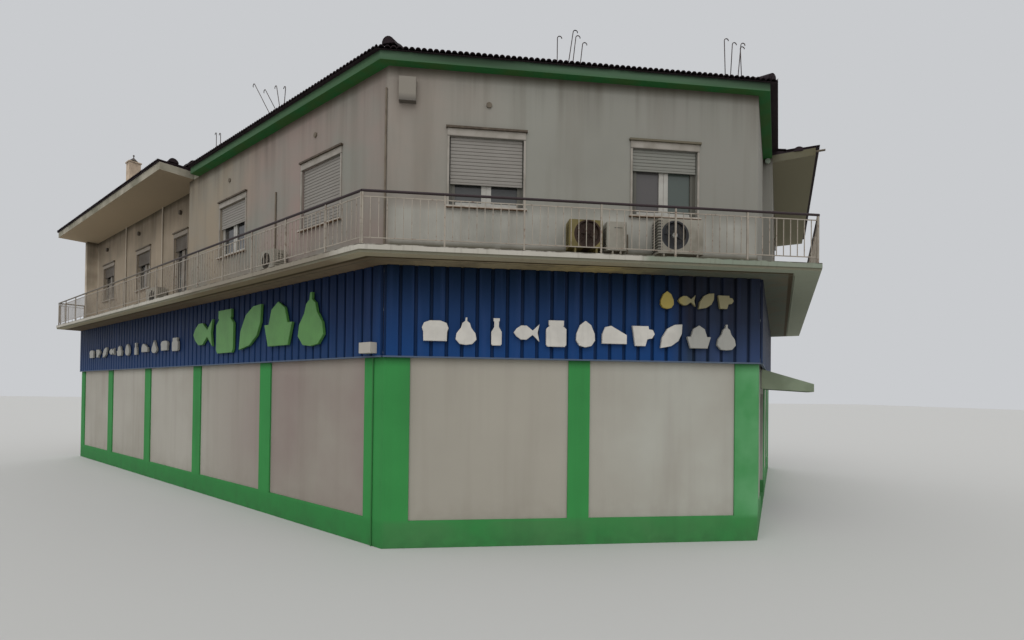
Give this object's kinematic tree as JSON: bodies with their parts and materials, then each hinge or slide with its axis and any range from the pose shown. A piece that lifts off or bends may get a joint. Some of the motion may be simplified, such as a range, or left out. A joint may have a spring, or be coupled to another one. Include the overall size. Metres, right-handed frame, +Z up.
{
  "type": "supermarket building",
  "caption": "Two-storey corner building: boarded shop under a corrugated sign band, balcony with railings all along, dwelling above under a tiled hip roof.",
  "frame": {"origin": "middle of the model's own box, on the lowest pavement level", "axes": "+X along the front face to the right as seen from the street, +Y from the front face into the building, +Z up"},
  "size_m": [26.975, 21.4436, 11.13],
  "materials": {
    "concrete_floor": "matt concrete",
    "green_paint": "matt green masonry paint",
    "white_panel": "matt off-white paint",
    "render": "weathered light grey render",
    "blue_sheet": "satin blue coated sheet",
    "steel": "dull dark steel",
    "railing_paint": "old cream paint on steel",
    "aluminium_frame": "white coated",
    "glass": "clear",
    "canvas": "grey green awning canvas",
    "slab_paint": "painted concrete, weathered",
    "cornice_paint": "green paint on concrete",
    "tiles": "dark brown clay tiles",
    "marble": "honed marble",
    "shutter": "grey plastic slats",
    "unit_casing": "off-white coated casing"
  },
  "bodies": {
    "root": {"shop_floor": "concrete_floor", "plinth_left": "green_paint", "plinth_front": "green_paint", "plinth_right": "green_paint", "pillars_left": "green_paint", "pillars_front": "green_paint", "pillars_right": "green_paint", "panels_left": "white_panel", "panels_front": "white_panel", "panels_right": "white_panel", "beam_left": "render", "beam_front": "render", "beam_right": "render", "sign_rails": "steel", "sign_left": "blue_sheet", "sign_front": "blue_sheet", "sign_right": "blue_sheet", "entrance_frame": "aluminium_frame", "entrance_glass": "glass", "entrance_awning": "canvas", "balcony_slab": "slab_paint", "railing_left": "railing_paint", "railing_front": "railing_paint", "railing_right": "railing_paint", "wall_block_left": "render", "wall_wing_left": "render", "wall_front": "render", "wall_right": "render", "party_wall_left": "render", "party_wall_right": "render", "roof_slab": "slab_paint", "block_cornice": "cornice_paint", "wing_eave_left_slab": "slab_paint", "wing_eave_right_slab": "slab_paint", "roof": "tiles", "wing_tiles_left": "tiles", "wing_tiles_right": "tiles", "chimney": "render", "chimney_cap": "steel", "window_sills": "marble", "shutter_boxes": "shutter", "roller_shutters": "shutter", "window_frames": "aluminium_frame", "window_glass": "glass", "air_conditioners": "unit_casing", "wall_fittings": "unit_casing", "awning_frame": "steel", "starter_bars": "steel"}
  },
  "joints": []
}
